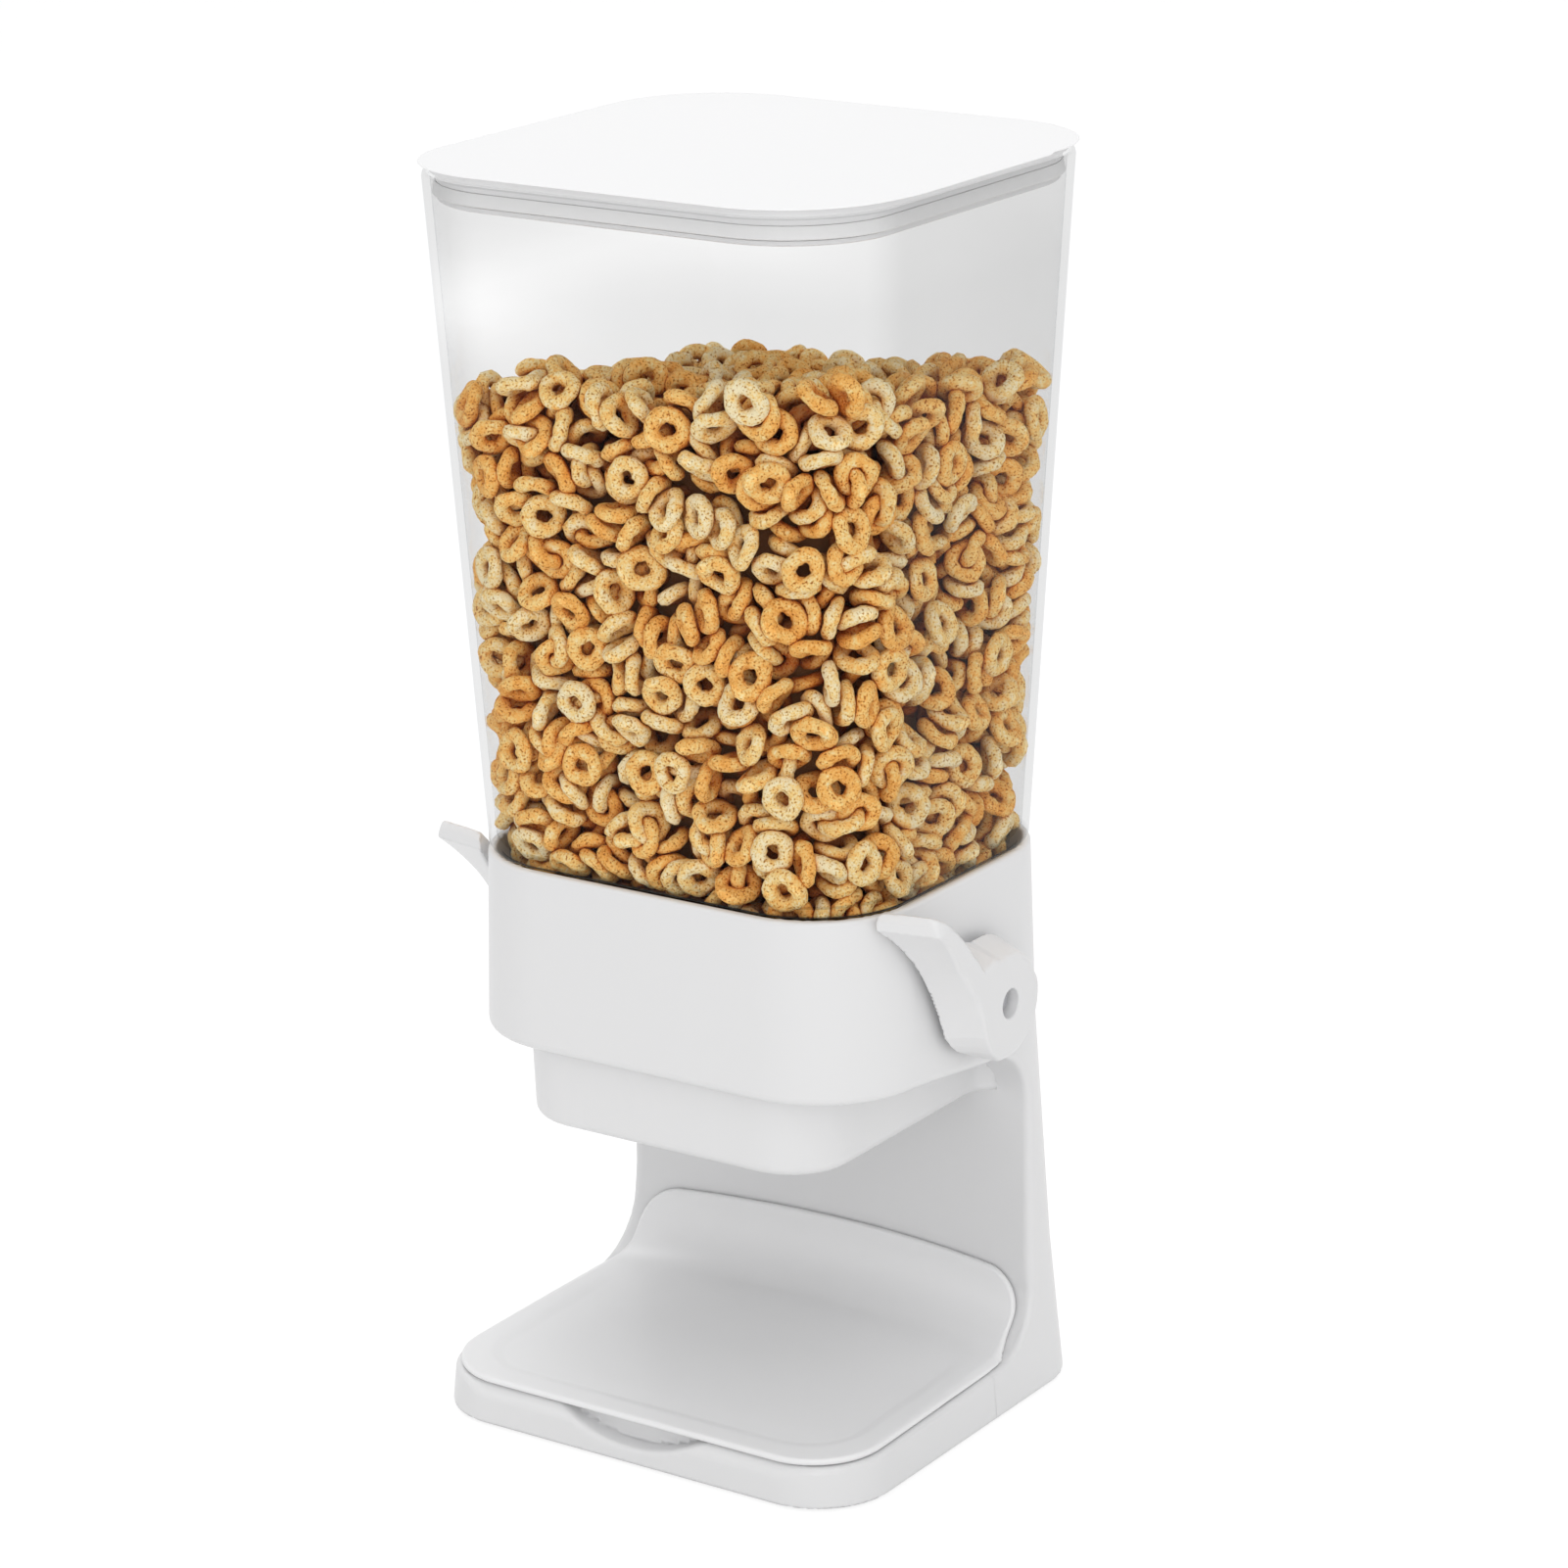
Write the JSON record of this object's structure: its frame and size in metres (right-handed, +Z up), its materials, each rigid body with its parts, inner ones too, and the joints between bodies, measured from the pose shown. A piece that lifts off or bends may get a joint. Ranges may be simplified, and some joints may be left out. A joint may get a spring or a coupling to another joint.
{
  "type": "cereal dispenser",
  "caption": "Counter-top dry food dispenser: clear tapered hopper with a sealed lid on a C-shaped stand, thumb levers that swing a gate over a chute, and a lift-out tray.",
  "frame": {"origin": "on the table, under the centre of the lid", "axes": "+X to the object's right side lever as seen from the front, +Y to the back, +Z up; the chute's open front faces -Y"},
  "size_m": [0.1806, 0.1578, 0.385],
  "materials": {
    "white_plastic": "smooth white moulded plastic, satin",
    "tray_plastic": "smooth very light grey moulded plastic",
    "bearing_plastic": "slippery natural white plastic",
    "clear_plastic": "clear moulded plastic",
    "seal_silicone": "milky soft silicone",
    "grey_rubber": "matt grey rubber",
    "steel": "plain stainless steel"
  },
  "bodies": {
    "stand": {"stand_shell": "white_plastic", "base_front": "white_plastic", "bottom_plate": "white_plastic", "rubber_feet": "grey_rubber", "base_screws": "steel", "chute": "white_plastic", "chute_screws": "steel", "funnel": "white_plastic", "outlet_wiper": "seal_silicone", "hopper_gasket": "seal_silicone", "bushing_left": "bearing_plastic", "bushing_right": "bearing_plastic", "return_springs": "steel", "stop_sleeves": "grey_rubber"},
    "lever": {"lever_left": "white_plastic", "lever_right": "white_plastic", "lever_screws": "steel", "shaft_left": "bearing_plastic", "shaft_right": "bearing_plastic", "gate": "white_plastic"},
    "hopper": {"hopper": "clear_plastic"},
    "lid": {"lid": "white_plastic", "lid_seal": "seal_silicone"},
    "tray": {"tray": "tray_plastic"}
  },
  "joints": [
    {"name": "lever_press", "type": "hinge", "parent": "stand", "child": "lever", "pos_m": [0, 0.0015, 0.1395], "axis": [1, 0, 0], "range_deg": [0, 32], "stiffness_Nm_per_rad": 0.35, "springref_deg": -20.05, "deforming": ["return_springs"]},
    {"name": "hopper_lift", "type": "slide", "parent": "stand", "child": "hopper", "axis": [0, 0, 1], "range_m": [0, 0.06]},
    {"name": "lid_lift", "type": "slide", "parent": "hopper", "child": "lid", "axis": [0, 0, 1], "range_m": [0, 0.04]},
    {"name": "tray_lift", "type": "slide", "parent": "stand", "child": "tray", "axis": [0, 0, 1], "range_m": [0, 0.045]}
  ]
}
